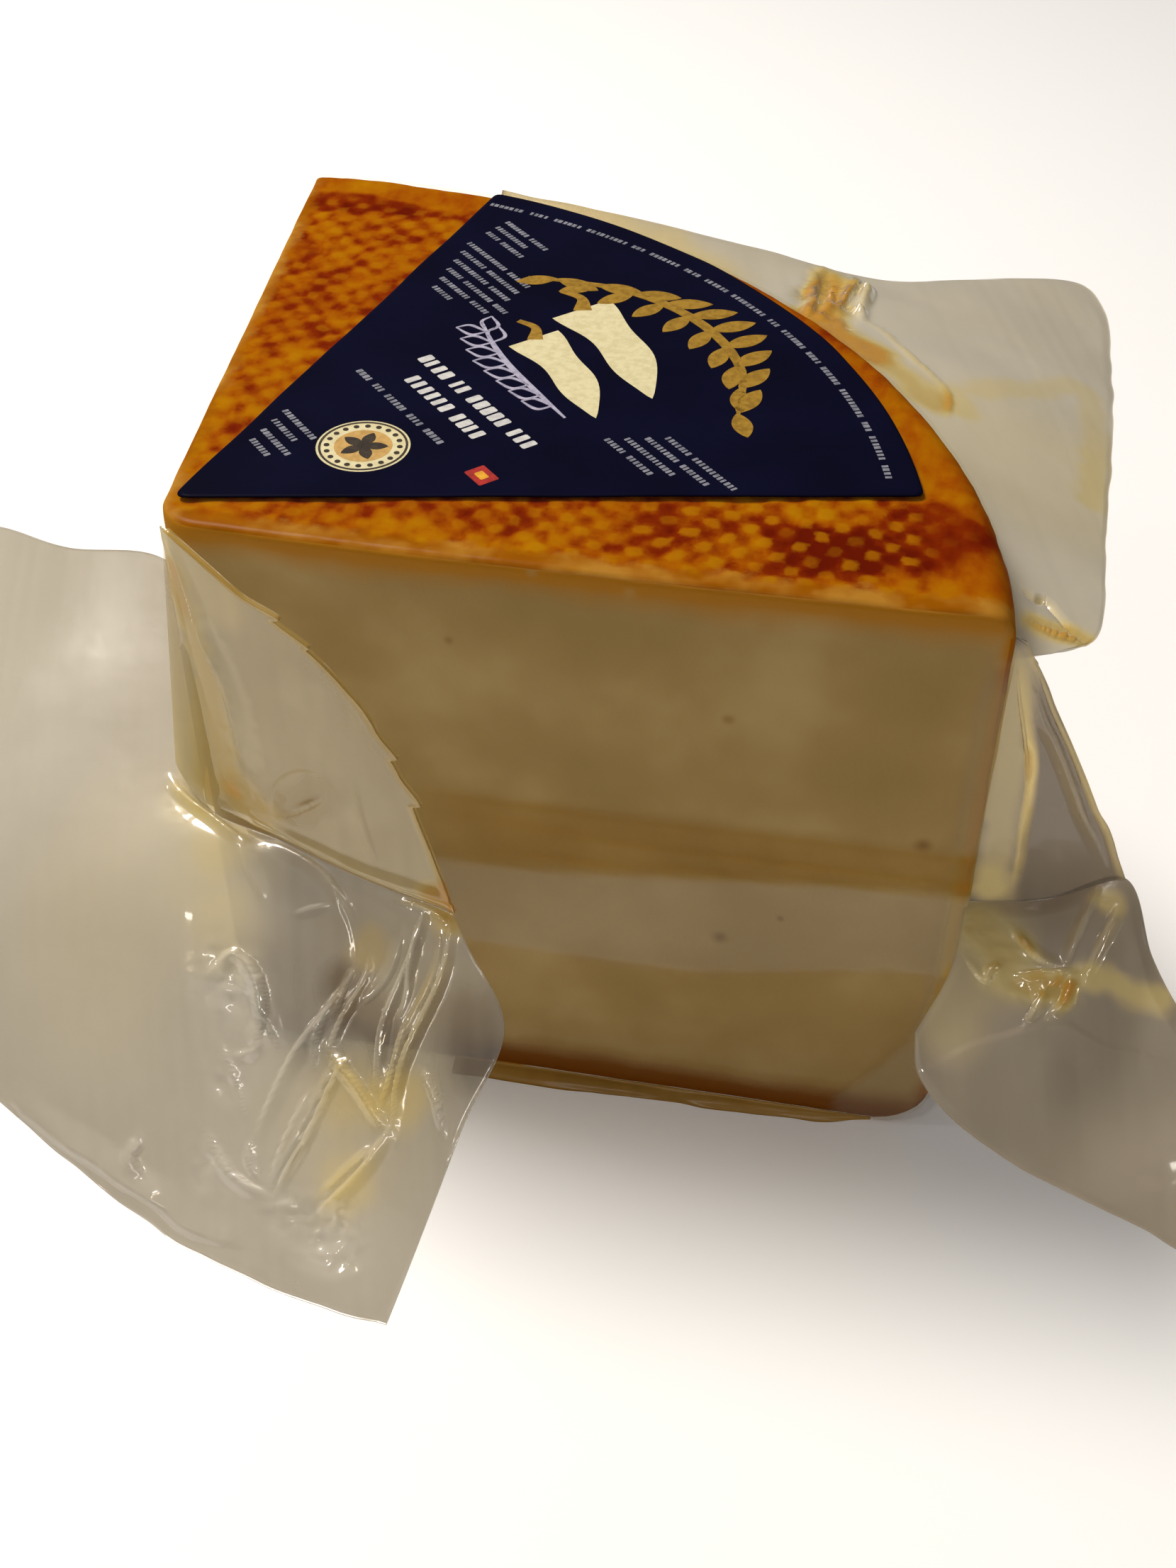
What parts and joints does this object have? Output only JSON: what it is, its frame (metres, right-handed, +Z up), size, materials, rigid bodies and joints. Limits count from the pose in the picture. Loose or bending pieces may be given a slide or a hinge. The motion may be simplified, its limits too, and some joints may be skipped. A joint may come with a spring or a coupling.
{
  "type": "paprika goat cheese wedge",
  "caption": "Wedge of paprika-rubbed goat cheese sealed in a clear film bag with loose creased ears, and a dark blue sector label on its flat top.",
  "frame": {"origin": "middle of the footprint's box, on the surface that the wedge stands on", "axes": "+X along the front cut from the tip to the round side, +Y away from the front cut, +Z up"},
  "size_m": [0.1986, 0.1666, 0.0847],
  "materials": {
    "cheese": "orange paprika rind with a pressed cloth weave on top and round the side, plain ivory paste on the two cuts",
    "film": "clear glossy film, slightly hazy and faintly yellow where it is doubled and creased",
    "label": "satin coated paper in dark blue, with cream, gold and white print shapes"
  },
  "bodies": {
    "root": {"cheese": "cheese", "bag": "film", "label": "label"}
  },
  "joints": []
}
